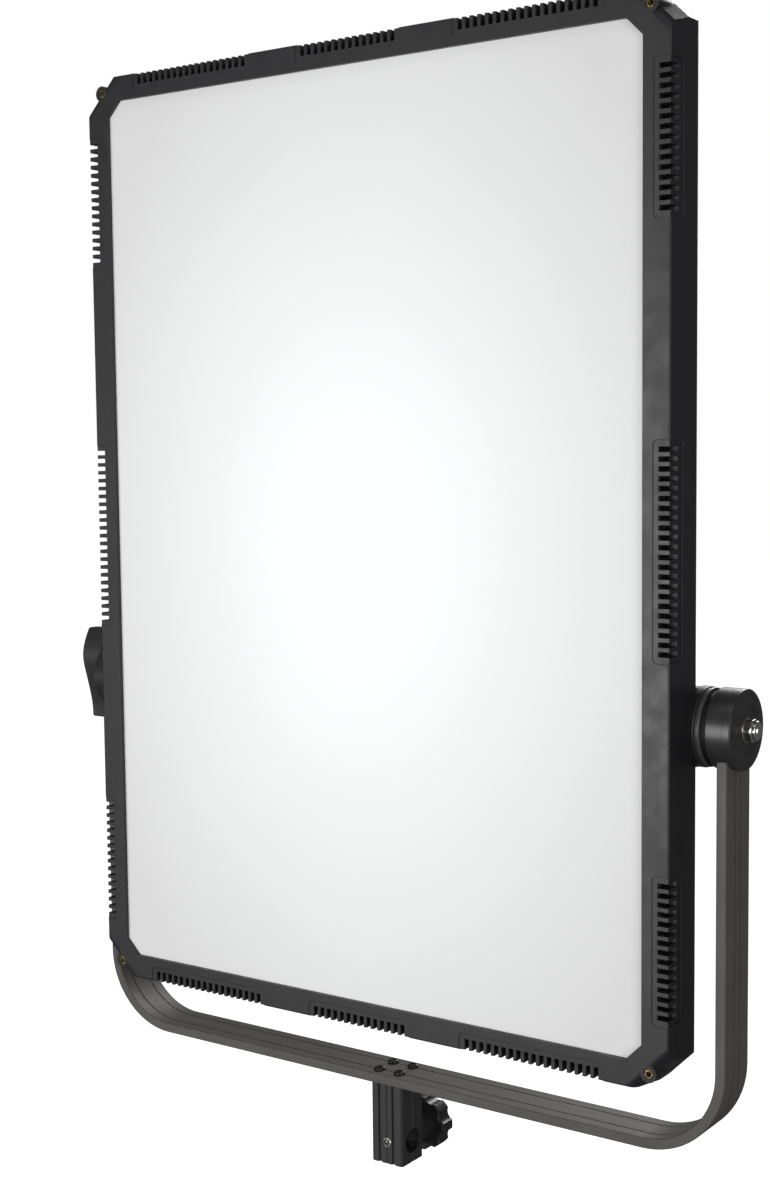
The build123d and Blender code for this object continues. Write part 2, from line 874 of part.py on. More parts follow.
def make_pivot_stud():
    end = cap_out - dish_depth + pivot_washer_thick + nut_thick + nut_collar + stud_end
    stud = rod_x(stud_radius, half_width - bracket_length + 10, end)
    return chamfer(stud.edges().filter_by(GeomType.CIRCLE).sort_by(Axis.X)[-1], 0.8)


def make_pivot_washer():
    x0 = cap_out - dish_depth + thrust_gap
    disc = rod_x(pivot_washer_radius, x0, x0 + pivot_washer_thick)
    return disc - rod_x(stud_radius + running_fit, x0 - 1, x0 + pivot_washer_thick + 1)


def make_pivot_nut():
    """A lock nut: hexagon with a round collar."""
    x0 = cap_out - dish_depth + thrust_gap + pivot_washer_thick
    hexagon = Plane(origin=(x0, 0, pivot_z), x_dir=(0, 1, 0), z_dir=(1, 0, 0)) * RegularPolygon(
        nut_flats / 2, 6, major_radius=False)
    body = extrude(hexagon, nut_thick)
    corners = rod_x(nut_flats / 2 + 0.5, x0, x0 + nut_thick)
    corners = chamfer(corners.edges().filter_by(GeomType.CIRCLE), 0.6)
    body = body & corners
    collar = rod_x(nut_collar_radius, x0 + nut_thick, x0 + nut_thick + nut_collar)
    collar = fillet(collar.edges().filter_by(GeomType.CIRCLE).sort_by(Axis.X)[-1], 0.9)
    return body + collar - rod_x(stud_radius, x0 - 1, x0 + nut_thick + nut_collar + 1)


# ---- tilt lock, on the left -------------------------------------------------------------

def paddle_start():
    return cap_out - dish_depth + thrust_gap + pivot_washer_thick + 0.05


def make_tilt_washer():
    x0 = cap_out - dish_depth + thrust_gap
    disc = rod_x(paddle_washer_radius, -x0 - pivot_washer_thick, -x0)
    return disc - rod_x(stud_radius, -x0 - pivot_washer_thick - 1, -x0 + 1)


def make_tilt_stud():
    start = half_width - bracket_length + 10 + lock_travel
    end = paddle_start() + paddle_boss + paddle_bore
    stud = rod_x(stud_radius - running_fit, -end, -start)
    return chamfer(stud.edges().filter_by(GeomType.CIRCLE).sort_by(Axis.X)[-1], 0.8)


def make_tilt_paddle():
    """An S-shaped paddle: each wing bulges one way and is hollowed the other way."""
    wave = [(-5.6, 33.5), (-10.0, 25.0), (-12.8, 14.0), (-10.2, 0.0), (-6.7, -12.5),
            (-4.2, -24.0), (-3.8, -33.5)]
    scale = paddle_reach / wave[0][1]
    front = [(y, z * scale) for y, z in wave]
    back = [(-y, -z) for y, z in front]
    edge = Spline(*front) + Line(front[-1], back[0]) + Spline(*back) + Line(back[-1], front[0])
    x0 = paddle_start() + paddle_boss
    end = x0 + paddle_length
    sheet = Plane(origin=(-x0, 0, pivot_z), x_dir=(0, 1, 0), z_dir=(1, 0, 0)) * make_face(edge)
    body = extrude(sheet, -paddle_length)
    body = fillet(body.edges().filter_by(Axis.X), paddle_round)
    body = fillet(body.faces().sort_by(Axis.X)[0].edges(), paddle_round)
    dimple = Pos(-end - paddle_dish_radius + paddle_dish, 0, pivot_z) * Sphere(paddle_dish_radius)
    boss = rod_x(paddle_boss_radius, -x0, -paddle_start())
    bore = rod_x(stud_radius, -x0 - paddle_bore, -paddle_start() + 1)
    return body - dimple + boss - bore


# ---- yoke -------------------------------------------------------------------------------

def make_yoke():
    middle = arm_inner_x + bar_thick / 2
    low = block_height + bar_thick / 2
    top = pivot_z + arm_over_pivot
    route = FilletPolyline((-middle, top), (-middle, low), (middle, low), (middle, top),
                           radius=bend_outer - bar_thick / 2)
    route = Plane.XZ * route
    section = RectangleRounded(bar_thick, bar_width, bar_corner)
    for y in (-inner_groove_y, inner_groove_y):
        section -= Pos(bar_thick / 2, y) * Rectangle(2 * groove_depth, groove_width)
    for y in (-outer_groove_y, outer_groove_y):
        section -= Pos(-bar_thick / 2, y) * Rectangle(2 * groove_depth, groove_width * 1.3)
    start = Plane(origin=(-middle, 0, top), x_dir=(1, 0, 0), z_dir=(0, 0, -1))
    bar = sweep(start * section, path=route)
    for side in (-1, 1):
        x = side * middle
        bar -= rod_x(stud_radius + running_fit, x - bar_thick, x + bar_thick)
    for x, y in top_screw_places():
        bar -= rod_z(top_screw_shank + running_fit, block_height - 1, bar_top + 1, x, y)
    return bar


def top_screw_places():
    half = top_screw_pitch / 2
    return [(sx * half, sy * half) for sx in (-1, 1) for sy in (-1, 1)]


def make_stand_block():
    sheet = RectangleRounded(block_side, block_side, block_corner)
    half = block_side / 2
    for x in (-face_groove_x, face_groove_x):
        for side in (-1, 1):
            sheet -= Pos(x, side * half) * Rectangle(face_groove_width, 2 * face_groove_depth)
    for side in (-1, 1):
        sheet -= Pos(side * half, 0) * Rot(0, 0, 45) * Rectangle(side_groove * 1.4,
                                                                 side_groove * 1.4)
        sheet -= Pos(0, side * half) * Rot(0, 0, 45) * Rectangle(side_groove, side_groove)
    body = extrude(sheet, block_height)
    body -= rod_z(socket_radius, -1, socket_depth)
    body -= rod_x(socket_radius, -half - 1, half + 1, 0, screw_rise)
    body -= rod_y(stud_radius + running_fit, 0, half + 1, 0, screw_rise)
    body -= rod_y(front_insert_radius, -half - 1, 0, 0, screw_rise)
    for x, y in top_screw_places():
        body -= rod_z(1.7, socket_depth + 3, block_height + 1, x, y)
    return body


def make_top_screws():
    screws = []
    for x, y in top_screw_places():
        head = rod_z(top_screw_head, bar_top, bar_top + top_screw_rise, x, y)
        head = fillet(head.faces().sort_by(Axis.Z)[-1].edges(), 1.2)
        stem = rod_z(top_screw_shank, block_height, bar_top, x, y)
        tip = rod_z(1.65, socket_depth + 4, block_height, x, y)
        socket = extrude(Pos(x, y, bar_top + 0.7) * RegularPolygon(1.45, 6), 3)
        screws.append(head + stem + tip - socket)
    return screws


def make_front_insert():
    half = block_side / 2
    barrel = rod_y(front_insert_radius - running_fit, -half - 0.3, -half + front_insert_length,
                   0, screw_rise)
    barrel = chamfer(barrel.edges().filter_by(GeomType.CIRCLE), 0.3)
    return barrel - rod_y(2.1, -half - 2, 0, 0, screw_rise)


def make_clamp_screw():
    end = block_side / 2 + star_gap + star_neck + 6
    screw = rod_y(stud_radius - 0.02, socket_radius + 0.4, end, 0, screw_rise)
    return chamfer(screw.edges().filter_by(GeomType.CIRCLE).sort_by(Axis.Y)[0], 0.8)


def make_star_knob():
    y0 = block_side / 2 + star_gap
    y1 = y0 + star_neck
    y2 = y1 + star_thick
    neck = rod_y(star_neck_radius, y0, y1 + 1, 0, screw_rise)
    head = rod_y(star_radius, y1, y2, 0, screw_rise)
    for n in range(star_lobes):
        turn = radians(360.0 * (n + 0.5) / star_lobes)
        away = star_radius + 3.4
        head -= rod_y(5.6, y1 - 1, y2 + 1, away * cos(turn), screw_rise + away * sin(turn))
    head = fillet(head.faces().sort_by(Axis.Y)[-1].edges(), 1.4)
    head = fillet(head.faces().sort_by(Axis.Y)[0].edges(), 1.4)
    dish = Pos(0, y2 + 22, screw_rise) * Sphere(23.5)
    bore = rod_y(stud_radius, y0 - 1, y1 + 6, 0, screw_rise)
    return neck + head - dish - bore


os.makedirs("parts", exist_ok=True)

bracket = make_pivot_bracket()
back_y = front_y + shell_back

write("front_bezel", make_bezel())
write("corner_inserts", *make_corner_inserts())
write("rear_shell", make_rear_shell())
write("cover_posts", *make_cover_posts())
write("cover_screws", *make_cover_screws())
write("diffuser", make_diffuser())
write("light_box", make_light_box())
write("heat_spreader", make_heat_spreader())
write("led_strips", *make_led_strips())
write("led_lenses", *make_led_lenses())
write("standoffs", *make_standoffs())
write("power_supply", make_power_supply())
write("driver_board", make_driver_board())
write("driver_parts", *make_driver_parts())

write("control_housing", make_control_housing())
write("control_board", make_control_board())
write("board_posts", *make_board_posts(), *make_driver_feet())
write("display_module", make_display_module())
write("display_window", make_display_window())
write("button_switches", *make_button_switches())
write("encoder_bodies", make_encoder(knob_x), make_encoder(-knob_x))
for label, x in (("brightness", knob_x), ("colour", -knob_x)):
    write(label + "_knob", make_rotary_knob(x))
    write(label + "_shaft", make_shaft(x))
for label, place in zip(("left_button", "middle_button", "right_button"), button_places()):
    write(label, make_button(*place))
write("switch_frame", make_switch_frame())
write("power_rocker", make_power_rocker())
write("power_inlet", make_power_inlet())
write("inlet_pins", *make_inlet_pins())
write("data_in_socket", make_data_in())
write("data_in_pins", *make_data_pins())
write("data_out_socket", make_data_out())

write("right_pivot_bracket", bracket)
write("left_pivot_bracket", mirrored_x(bracket))
write("bracket_screws", *[button_screw(x, z, back_y + foot_thick, foot_screw_head,
                                       foot_screw_rise, foot_screw_radius, foot_thick + 3)
                          for x, z in foot_screw_places()])
for side, place in (("right", lambda s: s), ("left", mirrored_x)):
    write(side + "_pivot_flange", place(make_flange()))
    write(side + "_pivot_ring", place(make_ring()))
    write(side + "_friction_washer", place(make_friction_washer()))
    write(side + "_hub", place(make_hub()))
    write(side + "_cap", place(make_cap()))
write("pivot_stud", make_pivot_stud())
write("pivot_washer", make_pivot_washer())
write("pivot_nut", make_pivot_nut())
write("tilt_washer", make_tilt_washer())
write("tilt_stud", make_tilt_stud())
write("tilt_paddle", make_tilt_paddle())

write("yoke_bar", make_yoke())
write("stand_block", make_stand_block())
write("bar_screws", *make_top_screws())
write("front_insert", make_front_insert())
write("clamp_screw", make_clamp_screw())
write("star_knob", make_star_knob())
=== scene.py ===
import bpy
import json
import math
from mathutils import Euler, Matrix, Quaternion, Vector


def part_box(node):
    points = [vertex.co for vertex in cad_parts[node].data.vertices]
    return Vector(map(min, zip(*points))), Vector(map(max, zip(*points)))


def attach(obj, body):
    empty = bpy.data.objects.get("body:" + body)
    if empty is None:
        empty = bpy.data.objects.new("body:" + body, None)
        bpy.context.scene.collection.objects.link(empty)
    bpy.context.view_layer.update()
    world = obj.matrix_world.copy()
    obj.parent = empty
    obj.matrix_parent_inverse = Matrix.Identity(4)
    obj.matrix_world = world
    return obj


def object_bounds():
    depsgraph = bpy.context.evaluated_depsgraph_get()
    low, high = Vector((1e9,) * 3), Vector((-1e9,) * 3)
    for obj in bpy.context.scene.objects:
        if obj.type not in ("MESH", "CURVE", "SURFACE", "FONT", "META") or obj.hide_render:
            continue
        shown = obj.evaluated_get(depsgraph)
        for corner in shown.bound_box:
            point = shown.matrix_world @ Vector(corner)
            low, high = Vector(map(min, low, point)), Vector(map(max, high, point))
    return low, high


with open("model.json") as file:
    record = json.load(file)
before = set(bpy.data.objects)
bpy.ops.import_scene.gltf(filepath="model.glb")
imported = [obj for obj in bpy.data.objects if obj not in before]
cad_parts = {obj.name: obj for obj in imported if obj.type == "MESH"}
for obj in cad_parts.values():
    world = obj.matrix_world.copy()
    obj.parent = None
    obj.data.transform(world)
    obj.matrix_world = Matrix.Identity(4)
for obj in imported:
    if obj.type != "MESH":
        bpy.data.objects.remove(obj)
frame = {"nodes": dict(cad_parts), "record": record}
cad_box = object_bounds()

# ---- stand block ------------------------------------------------------------------------
# A length of square grooved extrusion, bored from below and from the side for a spigot.
# It is aluminium, blasted and anodised black, so its long faces keep a faint drawn grain.


def new_material(name):
    """A material with its shader, and a helper that adds and sets a node in it."""
    material = bpy.data.materials.new(name)
    material.use_nodes = True
    tree = material.node_tree
    shader = tree.nodes["Principled BSDF"]

    def add(kind, **values):
        node = tree.nodes.new("ShaderNode" + kind)
        for key, value in values.items():
            if key in node.inputs:
                node.inputs[key].default_value = value
            else:
                setattr(node, key, value)
        return node

    return material, tree.links.new, shader, add


def object_grain(link, add, scale, stretch=(1, 1, 1), detail=3.0, rough=0.55):
    """Noise in the piece's own coordinates, drawn out along the axes with a small stretch."""
    place = add("TexCoord")
    mapping = add("Mapping")
    mapping.inputs["Scale"].default_value = stretch
    noise = add("TexNoise", Scale=scale, Detail=detail, Roughness=rough)
    link(place.outputs["Object"], mapping.inputs["Vector"])
    link(mapping.outputs["Vector"], noise.inputs["Vector"])
    return noise.outputs["Fac"]


def between(link, add, fac, low, high, from_min=0.3, from_max=0.7):
    """Maps a noise value to a range."""
    node = add("MapRange")
    node.inputs["From Min"].default_value = from_min
    node.inputs["From Max"].default_value = from_max
    node.inputs["To Min"].default_value = low
    node.inputs["To Max"].default_value = high
    link(fac, node.inputs["Value"])
    return node.outputs["Result"]


def two_tones(link, add, fac, dark, light):
    """Blends two colours by a value from 0 to 1."""
    mix = add("Mix", data_type="RGBA")
    mix.inputs[6].default_value = (*dark, 1)
    mix.inputs[7].default_value = (*light, 1)
    link(fac, mix.inputs[0])
    return mix.outputs[2]


def raised(link, add, shader, height, depth, strength=1.0, edge=0.0003):
    """Bump over edges that are slightly rounded by their finish."""
    soft = add("Bevel", samples=4)
    soft.inputs["Radius"].default_value = edge
    bump = add("Bump", Strength=strength, Distance=depth)
    link(height, bump.inputs["Height"])
    link(soft.outputs["Normal"], bump.inputs["Normal"])
    link(bump.outputs["Normal"], shader.inputs["Normal"])


def shade(colour, by):
    return tuple(min(1.0, c * by) for c in colour)


def drawn_metal(name, tone, along, roughness=0.38, metallic=0.0, contrast=0.22):
    """Anodised extrusion: fine lines along its length, and a slow change of tone."""
    material, link, shader, add = new_material(name)
    stretch = tuple(0.02 if axis in along else 1.0 for axis in "xyz")
    lines = object_grain(link, add, 1400, stretch, 2.0)
    patches = object_grain(link, add, 14, (1, 1, 1), 2.0)
    specks = object_grain(link, add, 5200, (1, 1, 1), 1.0)
    fac = between(link, add, patches, 0.0, 1.0)
    link(two_tones(link, add, fac, shade(tone, 1 - contrast), shade(tone, 1 + contrast)),
         shader.inputs["Base Color"])
    link(between(link, add, lines, roughness - 0.07, roughness + 0.09), shader.inputs["Roughness"])
    shader.inputs["Metallic"].default_value = metallic
    height = add("Math", operation="MULTIPLY_ADD")
    link(specks, height.inputs[0])
    height.inputs[1].default_value = 0.5
    link(lines, height.inputs[2])
    raised(link, add, shader, height.outputs[0], 0.00003, 0.5)
    return material


def paint(node, material):
    """Gives a CAD node its finish."""
    slots = frame["nodes"][node].data.materials
    slots.clear()
    slots.append(material)


def deselect():
    bpy.ops.object.select_all(action="DESELECT")


def settle(piece, name):
    """Names a finished piece and puts its place into its mesh."""
    deselect()
    piece.select_set(True)
    bpy.context.view_layer.objects.active = piece
    bpy.ops.object.transform_apply(location=True, rotation=True, scale=True)
    piece.name = name
    piece.data.name = name
    return piece


block_tone = (0.030, 0.030, 0.032)
paint("stand_block", drawn_metal("black_anodised_block", block_tone, "z", 0.42))

# ---- yoke bar ---------------------------------------------------------------------------
# One grooved flat extrusion bent twice into a U. It is aluminium, anodised in a dark warm
# grey, and it shows drawn lines that follow the bar round its bends.

yoke_tone = (0.098, 0.091, 0.084)
paint("yoke_bar", drawn_metal("grey_anodised_bar", yoke_tone, "xz", 0.56, 0.0, 0.12))

# ---- screws -----------------------------------------------------------------------------
# Button-head screws with a hexagon socket: four through the bar into the block, and others
# in the covers. They are steel, blackened in oil, with a patchy tone.


def blackened_steel():
    material, link, shader, add = new_material("blackened_screw_steel")
    patches = object_grain(link, add, 260, (1, 1, 1), 3.0)
    fac = between(link, add, patches, 0.0, 1.0)
    link(two_tones(link, add, fac, (0.016, 0.016, 0.017), (0.045, 0.043, 0.041)),
         shader.inputs["Base Color"])
    link(between(link, add, patches, 0.26, 0.44), shader.inputs["Roughness"])
    shader.inputs["Metallic"].default_value = 0.55
    raised(link, add, shader, patches, 0.00002, 0.4, 0.0002)
    return material


screw_steel = blackened_steel()
for screws in ("bar_screws", "cover_screws", "bracket_screws"):
    paint(screws, screw_steel)

# ---- front insert of the block ----------------------------------------------------------
# A threaded bush pressed into the front of the block, for a locking screw. It is bright
# zinc-plated steel, and its thread is cut through from end to end.


def plated_steel(name, tone=(0.72, 0.70, 0.66), roughness=0.2):
    """Bright plating over turned steel, with fine scratches and a faint cloudiness."""
    material, link, shader, add = new_material(name)
    cloud = object_grain(link, add, 180, (1, 1, 1), 3.0)
    scratch = object_grain(link, add, 3000, (0.08, 1, 1), 2.0)
    fac = between(link, add, cloud, 0.0, 1.0)
    link(two_tones(link, add, fac, shade(tone, 0.82), shade(tone, 1.08)),
         shader.inputs["Base Color"])
    link(between(link, add, cloud, roughness - 0.06, roughness + 0.14), shader.inputs["Roughness"])
    shader.inputs["Metallic"].default_value = 1.0
    raised(link, add, shader, scratch, 0.00001, 0.35, 0.00025)
    return material


def thread_ridge(name, mouth, wall, crest, pitch, turns):
    """One helical ridge inside a bore along Y: a small triangle, screwed up and settled."""
    deselect()
    bpy.ops.mesh.primitive_circle_add(vertices=3, radius=pitch / 2)
    ridge = bpy.context.object
    corners = ((wall, -0.46 * pitch), (wall, 0.46 * pitch), (crest, 0.0))
    for vertex, (radius, along) in zip(ridge.data.vertices, corners):
        vertex.co = (radius, 0.0, along)
    screw = ridge.modifiers.new("screw", "SCREW")
    screw.axis = "Z"
    screw.angle = math.radians(360 * turns)
    screw.screw_offset = pitch * turns
    screw.steps = 24 * turns
    screw.render_steps = screw.steps
    bpy.ops.object.modifier_apply(modifier="screw")
    bpy.ops.object.mode_set(mode="EDIT")
    bpy.ops.mesh.select_all(action="SELECT")
    bpy.ops.mesh.fill_holes(sides=3)
    bpy.ops.mesh.select_all(action="SELECT")
    bpy.ops.mesh.normals_make_consistent(inside=False)
    bpy.ops.object.mode_set(mode="OBJECT")
    ridge.rotation_euler = (math.radians(-90), 0, 0)
    ridge.location = mouth
    settle(ridge, name)
    bpy.ops.object.shade_smooth_by_angle(angle=math.radians(30))
    return ridge


plated = plated_steel("bright_zinc_plate")
paint("front_insert", plated)
low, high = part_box("front_insert")
insert_bore = 0.0021
insert_pitch = 0.0008
insert_turns = 4
insert_lead_in = 0.0020
insert_thread_height = 0.00025
thread_grip = 0.00006
front_thread = thread_ridge("front_insert_thread",
                            ((low.x + high.x) / 2, low.y + insert_lead_in,
                             (low.z + high.z) / 2),
                            insert_bore + thread_grip, insert_bore - insert_thread_height,
                            insert_pitch, insert_turns)
front_thread.data.materials.append(plated)
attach(front_thread, "yoke")

# ---- clamp screw and star knob ----------------------------------------------------------
# The clamp screw goes through the back of the block and presses on the spigot. It is
# plated steel, and its knob is moulded in black nylon with eight lobes and a satin grain.


def moulded(name, tone, roughness=0.45, grain=2600, depth=0.00004, edge=0.0004, contrast=0.18):
    """Moulded plastic: an eroded grain, a slow change of tone, and slightly soft edges."""
    material, link, shader, add = new_material(name)
    pebble = object_grain(link, add, grain, (1, 1, 1), 2.0)
    patches = object_grain(link, add, 11, (1, 1, 1), 3.0)
    rubs = object_grain(link, add, 75, (1, 1, 1), 4.0, 0.65)
    fac = between(link, add, patches, 0.0, 1.0)
    link(two_tones(link, add, fac, shade(tone, 1 - contrast), shade(tone, 1 + contrast)),
         shader.inputs["Base Color"])
    link(between(link, add, rubs, roughness - 0.05, roughness + 0.08), shader.inputs["Roughness"])
    raised(link, add, shader, pebble, depth, 0.45, edge)
    return material


paint("clamp_screw", plated)
knob_tone = (0.021, 0.021, 0.022)
paint("star_knob", moulded("black_nylon_knob", knob_tone, 0.42, 2200))

# ---- hubs, rings and friction washers ---------------------------------------------------
# Each pivot is a stack on one stud: a flange and ring on the panel, a rubber washer, then
# the hub that holds the arm's end and its dished cap. The hub parts are satin nylon.


def turned(name, tone, axis, centre, roughness=0.36, metallic=0.0, pitch=0.0005):
    """A finish with fine rings round an axis, as left by a lathe or by the mould's tooling."""
    material, link, shader, add = new_material(name)
    place = add("TexCoord")
    mapping = add("Mapping")
    mapping.inputs["Location"].default_value = tuple(-value for value in centre)
    flatten = add("VectorMath", operation="MULTIPLY")
    flatten.inputs[1].default_value = tuple(0.0 if a == axis else 1.0 for a in "xyz")
    radius = add("VectorMath", operation="LENGTH")
    rings = add("TexNoise", noise_dimensions="1D", Scale=1.0 / pitch, Detail=2.0)
    link(place.outputs["Object"], mapping.inputs["Vector"])
    link(mapping.outputs["Vector"], flatten.inputs[0])
    link(flatten.outputs["Vector"], radius.inputs[0])
    link(radius.outputs["Value"], rings.inputs["W"])
    patches = object_grain(link, add, 40, (1, 1, 1), 3.0)
    fac = between(link, add, patches, 0.0, 1.0)
    link(two_tones(link, add, fac, shade(tone, 0.84), shade(tone, 1.16)),
         shader.inputs["Base Color"])
    link(between(link, add, rings.outputs["Fac"], roughness - 0.06, roughness + 0.08),
         shader.inputs["Roughness"])
    shader.inputs["Metallic"].default_value = metallic
    raised(link, add, shader, rings.outputs["Fac"], 0.00002, 0.4, 0.0004)
    return material


low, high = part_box("right_cap")
pivot = Vector((0, (low.y + high.y) / 2, (low.z + high.z) / 2))
hub_tone = (0.026, 0.026, 0.027)
hub_nylon = turned("satin_nylon_hub", hub_tone, "x", pivot, 0.33)
ring_metal = turned("grey_turned_ring", (0.105, 0.105, 0.108), "x", pivot, 0.34, 0.3)
washer_rubber = moulded("friction_rubber", (0.012, 0.012, 0.012), 0.62, 1500, 0.00006)
for side in ("right", "left"):
    for part in ("_pivot_flange", "_hub", "_cap"):
        paint(side + part, hub_nylon)
    paint(side + "_pivot_ring", ring_metal)
    paint(side + "_friction_washer", washer_rubber)

# ---- pivot stud, washer and lock nut ----------------------------------------------------
# The stud through the right pivot is closed by a washer and a lock nut with a round
# collar. They are bright plated steel, turned, and the nut is set for the right friction.

turned_plate = turned("turned_bright_plate", (0.70, 0.68, 0.64), "x", pivot, 0.2, 1.0, 0.0003)
for part in ("pivot_stud", "pivot_washer", "pivot_nut", "tilt_washer", "tilt_stud"):
    paint(part, turned_plate)

# ---- tilt paddle ------------------------------------------------------------------------
# The S-shaped handle of the left pivot, hollowed for thumb and finger. It is moulded in
# glass-filled nylon, with a coarser grain than the covers have.

paint("tilt_paddle", moulded("black_nylon_paddle", (0.027, 0.027, 0.028), 0.4, 1900, 0.00005))

# ---- pivot brackets ---------------------------------------------------------------------
# A cast block in each side of the shell holds a pivot stud, and its foot is screwed to the
# back. It is zinc, cast and powder-coated black, with the fine orange peel of the powder.


def powder_coat(name, tone, roughness=0.5, peel=700):
    """Baked powder: orange peel at two scales over a slow change of tone."""
    material, link, shader, add = new_material(name)
    coarse = object_grain(link, add, peel, (1, 1, 1), 1.0)
    fine = object_grain(link, add, peel * 5, (1, 1, 1), 1.0)
    patches = object_grain(link, add, 8, (1, 1, 1), 3.0)
    fac = between(link, add, patches, 0.0, 1.0)
    link(two_tones(link, add, fac, shade(tone, 0.86), shade(tone, 1.14)),
         shader.inputs["Base Color"])
    link(between(link, add, fine, roughness - 0.06, roughness + 0.08), shader.inputs["Roughness"])
    height = add("Math", operation="MULTIPLY_ADD")
    link(fine, height.inputs[0])
    height.inputs[1].default_value = 0.4
    link(coarse, height.inputs[2])
    raised(link, add, shader, height.outputs[0], 0.00006, 0.5, 0.0006)
    return material


cast_coat = powder_coat("coated_casting", (0.030, 0.030, 0.031), 0.46, 520)
for side in ("right", "left"):
    paint(side + "_pivot_bracket", cast_coat)

# ---- rear shell -------------------------------------------------------------------------
# The pressed and folded cover over the electronics, with two fields of cooling slots. It
# is sheet aluminium, powder-coated black, and six screws hold it to its posts.

shell_tone = (0.018, 0.018, 0.019)
paint("rear_shell", powder_coat("coated_shell", shell_tone, 0.52, 800))

# ---- front bezel ------------------------------------------------------------------------
# The deep moulded frame that holds the front sheet, with combs of cooling slots in its
# edges. It is black glass-filled plastic with a fine spark-eroded grain.

bezel_tone = (0.0145, 0.0145, 0.0165)
paint("front_bezel",
      moulded("black_bezel_plastic", bezel_tone, 0.43, 3000, 0.00004, 0.0005, 0.1))

# ---- corner inserts ---------------------------------------------------------------------
# Four bushes melted into the corner bosses, threaded for a grid or barn doors.
# They are brass, with a patchy tone from dark to bright.


def bush_brass():
    material, link, shader, add = new_material("bush_brass")
    cloud = object_grain(link, add, 420, (1, 1, 1), 4.0)
    fac = between(link, add, cloud, 0.0, 1.0)
    link(two_tones(link, add, fac, (0.14, 0.10, 0.045), (0.42, 0.32, 0.16)),
         shader.inputs["Base Color"])
    link(between(link, add, cloud, 0.22, 0.42), shader.inputs["Roughness"])
    shader.inputs["Metallic"].default_value = 1.0
    raised(link, add, shader, cloud, 0.00002, 0.4, 0.0002)
    return material


brass = bush_brass()
for part in ("corner_inserts", "standoffs", "board_posts"):
    paint(part, brass)
low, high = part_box("corner_inserts")
corner_mount = next(m for m in frame["record"]["mounts"] if m["name"] == "corner_threads")
corner_bore = corner_mount["dims"]["hole_r_mm"] / 1000
across = corner_mount["dims"]["spacing_x_mm"] / 2000
upward = corner_mount["dims"]["spacing_y_mm"] / 2000
mount_x, _, mount_z = corner_mount["pos_m"]
corner_pitch = 0.0007
corner_turns = 9
corner_lead_in = 0.0012
corner_thread_height = 0.0002
corner_thread = thread_ridge("corner_thread_1",
                             (mount_x - across, low.y + corner_lead_in, mount_z - upward),
                             corner_bore + thread_grip, corner_bore - corner_thread_height,
                             corner_pitch, corner_turns)
corner_thread.data.materials.append(brass)
shifts = [(2 * across, 0), (0, 2 * upward), (2 * across, 2 * upward)]
corner_threads = [corner_thread]
for number, (right, up) in enumerate(shifts, 2):
    copy = corner_thread.copy()
    copy.data = corner_thread.data.copy()
    bpy.context.collection.objects.link(copy)
    copy.location = (right, 0, up)
    corner_threads.append(settle(copy, "corner_thread_" + str(number)))
for thread in corner_threads:
    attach(thread, "panel")

# ---- front sheet ------------------------------------------------------------------------
# The opal acrylic sheet that spreads the light, held between the bezel and the light box.
# Its colour is painted brightest in the middle and darker towards its edges, a painted shade, and
# the sheet glows faintly in that colour, a painted glow.


def opal_sheet():
    material, link, shader, add = new_material("opal_acrylic_painted_glow_and_shade")
    low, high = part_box("diffuser")
    middle = (low + high) / 2
    half = (high - low) / 2
    place = add("TexCoord")
    mapping = add("Mapping")
    mapping.inputs["Location"].default_value = (0, 0, -middle.z / half.z)
    mapping.inputs["Scale"].default_value = (1 / half.x, 0, 1 / half.z)
    away = add("VectorMath", operation="LENGTH")
    link(place.outputs["Object"], mapping.inputs["Vector"])
    link(mapping.outputs["Vector"], away.inputs[0])
    # painted shade: the colour darkens with distance from the sheet's middle, its edge wobbled by
    # a large noise
    haze = object_grain(link, add, 9, (1, 1, 1), 3.0)
    painted_edge_shade = add("Math", operation="MULTIPLY_ADD")
    link(haze, painted_edge_shade.inputs[0])
    painted_edge_shade.inputs[1].default_value = 0.12
    link(away.outputs["Value"], painted_edge_shade.inputs[2])
    fac = between(link, add, painted_edge_shade.outputs[0], 0.0, 1.0, 0.35, 1.3)
    colour = two_tones(link, add, fac, (0.86, 0.865, 0.868), (0.62, 0.62, 0.618))
    link(colour, shader.inputs["Base Color"])
    # painted glow: the sheet emits its own colour faintly, brightest in the middle
    link(colour, shader.inputs["Emission Color"])
    shader.inputs["Emission Strength"].default_value = 0.30
    grain = object_grain(link, add, 4200, (1, 1, 1), 1.0)
    link(between(link, add, grain, 0.5, 0.62), shader.inputs["Roughness"])
    raised(link, add, shader, grain, 0.00002, 0.3, 0.0002)
    return material


paint("diffuser", opal_sheet())

# ---- light engine -----------------------------------------------------------------------
# Behind the sheet: a white reflector frame, an aluminium plate that carries ten strips of
# LEDs, and a clear lens over each LED.


def strip_laminate():
    """White solder resist, with rows of darker pads."""
    material, link, shader, add = new_material("white_strip_laminate")
    rows = add("TexWave", wave_type="BANDS", bands_direction="X", Scale=18.0, Distortion=0.0)
    place = add("TexCoord")
    link(place.outputs["Object"], rows.inputs["Vector"])
    fac = between(link, add, rows.outputs["Fac"], 0.0, 1.0, 0.9, 0.98)
    link(two_tones(link, add, fac, (0.78, 0.78, 0.76), (0.42, 0.41, 0.38)),
         shader.inputs["Base Color"])
    grain = object_grain(link, add, 2500)
    link(between(link, add, grain, 0.3, 0.45), shader.inputs["Roughness"])
    raised(link, add, shader, grain, 0.00002, 0.3, 0.0002)
    return material


def clear_lens():
    material, link, shader, add = new_material("clear_lens_acrylic")
    haze = object_grain(link, add, 900)
    fac = between(link, add, haze, 0.0, 1.0)
    link(two_tones(link, add, fac, (0.86, 0.87, 0.88), (0.95, 0.95, 0.94)),
         shader.inputs["Base Color"])
    link(between(link, add, haze, 0.05, 0.14), shader.inputs["Roughness"])
    shader.inputs["Transmission Weight"].default_value = 0.8
    shader.inputs["IOR"].default_value = 1.49
    return material


